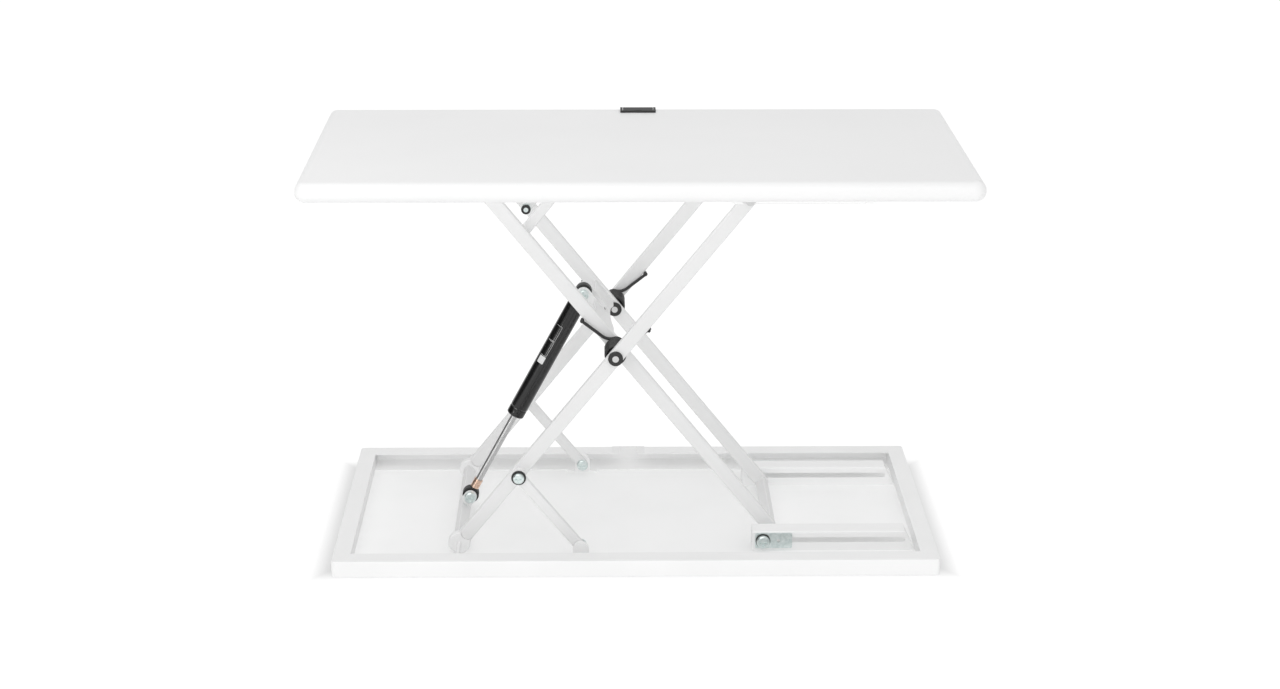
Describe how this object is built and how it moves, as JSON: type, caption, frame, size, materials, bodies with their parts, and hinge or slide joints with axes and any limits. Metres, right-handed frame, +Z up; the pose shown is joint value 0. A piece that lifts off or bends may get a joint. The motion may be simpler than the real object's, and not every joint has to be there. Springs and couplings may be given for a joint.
{
  "type": "standing desk converter",
  "caption": "Desktop riser: a white rectangular desktop on two crossed tube frames that fold over a low steel floor frame, with a gas spring, torsion springs and a latch paddle.",
  "frame": {"origin": "centre of the whole object's box, at the underside of its rubber feet", "axes": "+Z up, +X along the desktop's long side towards the slotted floor guides, +Y towards the edge with the latch paddle"},
  "size_m": [0.8, 0.4, 0.4936],
  "materials": {
    "white_paint": "fine-textured white powder coat",
    "arm_paint": "fine-textured white powder coat",
    "panel_paint": "smooth white powder coat",
    "white_board": "satin white laminate over fibreboard",
    "zinc": "bright zinc plate",
    "steel_pin": "bright drawn steel",
    "spring_black": "black oxide spring wire",
    "black_plastic": "black moulded nylon",
    "white_nylon": "white nylon",
    "gas_black": "satin black lacquer",
    "chrome": "hard chrome",
    "copper_zinc": "yellow-passivated zinc",
    "label": "blank paper label",
    "rubber": "black rubber"
  },
  "bodies": {
    "base": {"base_rail_rear": "white_paint", "base_rail_front": "white_paint", "base_rail_left": "white_paint", "base_rail_right": "white_paint", "base_panel": "panel_paint", "base_feet": "rubber", "slot_guides": "white_paint", "link_brackets": "white_paint", "link_pivot_bolts": "zinc", "latch_keeper": "white_nylon"},
    "lower_links": {"lower_links": "arm_paint"},
    "outer_frame": {"outer_arm_rear": "arm_paint", "outer_arm_front": "arm_paint", "foot_glides": "white_nylon", "outer_lower_cross_tube": "arm_paint", "outer_upper_cross_tube": "arm_paint", "gas_spring_lug": "arm_paint", "gas_spring_lower_bolt": "zinc", "link_joint_bolts": "zinc", "link_joint_washers": "black_plastic", "link_joint_spacers": "white_nylon", "top_guide_pins": "steel_pin", "crossing_pins": "steel_pin", "crossing_caps": "black_plastic", "crossing_sleeves": "black_plastic", "torsion_spring_rear": "spring_black", "torsion_spring_front": "spring_black"},
    "inner_frame": {"inner_arm_rear": "arm_paint", "inner_arm_front": "arm_paint", "top_glides": "white_nylon", "inner_lower_cross_tube": "arm_paint", "inner_upper_cross_tube": "arm_paint", "gas_spring_mid_bracket": "arm_paint", "gas_spring_upper_bolt": "zinc", "slot_pins": "zinc", "upper_link_studs": "zinc", "upper_link_nuts": "zinc", "upper_link_nut_collars": "black_plastic", "torsion_spring_end_turns": "spring_black"},
    "sliders": {"slider_plates": "zinc", "slider_washers": "black_plastic", "slider_bolts": "zinc"},
    "upper_links": {"upper_links": "arm_paint"},
    "gas_rod": {"gas_rod_eye": "black_plastic", "gas_rod_collar": "copper_zinc", "gas_rod": "chrome"},
    "gas_cylinder": {"gas_tube": "gas_black", "gas_tube_eye": "black_plastic", "gas_upper_bush": "zinc", "gas_label": "label"},
    "desktop": {"desktop": "white_board", "desk_guides": "white_paint", "glide_tracks": "white_nylon", "desk_brackets": "white_paint", "desk_bracket_bolts": "zinc", "desk_screws": "zinc", "paddle_housing": "black_plastic", "latch_pin": "steel_pin"},
    "latch": {"latch_paddle": "black_plastic", "latch_hook": "black_plastic"}
  },
  "joints": [
    {"name": "lift", "type": "hinge", "parent": "base", "child": "lower_links", "pos_m": [-0.0724, 0, 0.018], "axis": [0, -1, 0], "range_deg": [0, 48.1], "stiffness_Nm_per_rad": 20, "springref_deg": -108.86},
    {"name": "outer_frame_turn", "type": "hinge", "parent": "lower_links", "child": "outer_frame", "pos_m": [-0.14744, 0, 0.111], "axis": [0, -1, 0], "range_deg": [-96.7, 0.5]},
    {"name": "inner_frame_turn", "type": "hinge", "parent": "outer_frame", "child": "inner_frame", "pos_m": [-0.02932, 0, 0.25739], "axis": [0, -1, 0], "range_deg": [-0.5, 96.7]},
    {"name": "slider_level", "type": "hinge", "parent": "inner_frame", "child": "sliders", "pos_m": [0.16384, 0, 0.018], "axis": [0, -1, 0], "range_deg": [-48.6, 0.5]},
    {"name": "upper_link_turn", "type": "hinge", "parent": "inner_frame", "child": "upper_links", "pos_m": [-0.14085, 0, 0.3956], "axis": [0, -1, 0], "range_deg": [-96.7, 0.5]},
    {"name": "desktop_level", "type": "hinge", "parent": "upper_links", "child": "desktop", "pos_m": [-0.09344, 0, 0.45436], "axis": [0, -1, 0], "range_deg": [-0.5, 48.6]},
    {"name": "gas_spring_swing", "type": "hinge", "parent": "outer_frame", "child": "gas_rod", "pos_m": [-0.21468, 0, 0.03213], "axis": [0, -1, 0], "range_deg": [-10.67, 0.5]},
    {"name": "gas_spring_stroke", "type": "slide", "parent": "gas_rod", "child": "gas_cylinder", "axis": [0.475, 0, 0.88], "range_m": [-0.07679, 0.001]},
    {"name": "latch_press", "type": "hinge", "parent": "desktop", "child": "latch", "pos_m": [0.002, 0.188, 0.482], "axis": [-1, 0, 0], "range_deg": [0, 12], "stiffness_Nm_per_rad": 0.6, "springref_deg": -20.05}
  ],
  "couplings": [
    {"joint": "outer_frame_turn", "follows": "lift", "ratio": -2},
    {"joint": "inner_frame_turn", "follows": "lift", "ratio": 2},
    {"joint": "slider_level", "follows": "lift", "ratio": -1},
    {"joint": "upper_link_turn", "follows": "lift", "ratio": -2},
    {"joint": "desktop_level", "follows": "lift", "ratio": 1},
    {"joint": "gas_spring_swing", "follows": "lift", "ratio": -0.2115},
    {"joint": "gas_spring_stroke", "follows": "lift", "m_per_rad": -0.09028}
  ]
}
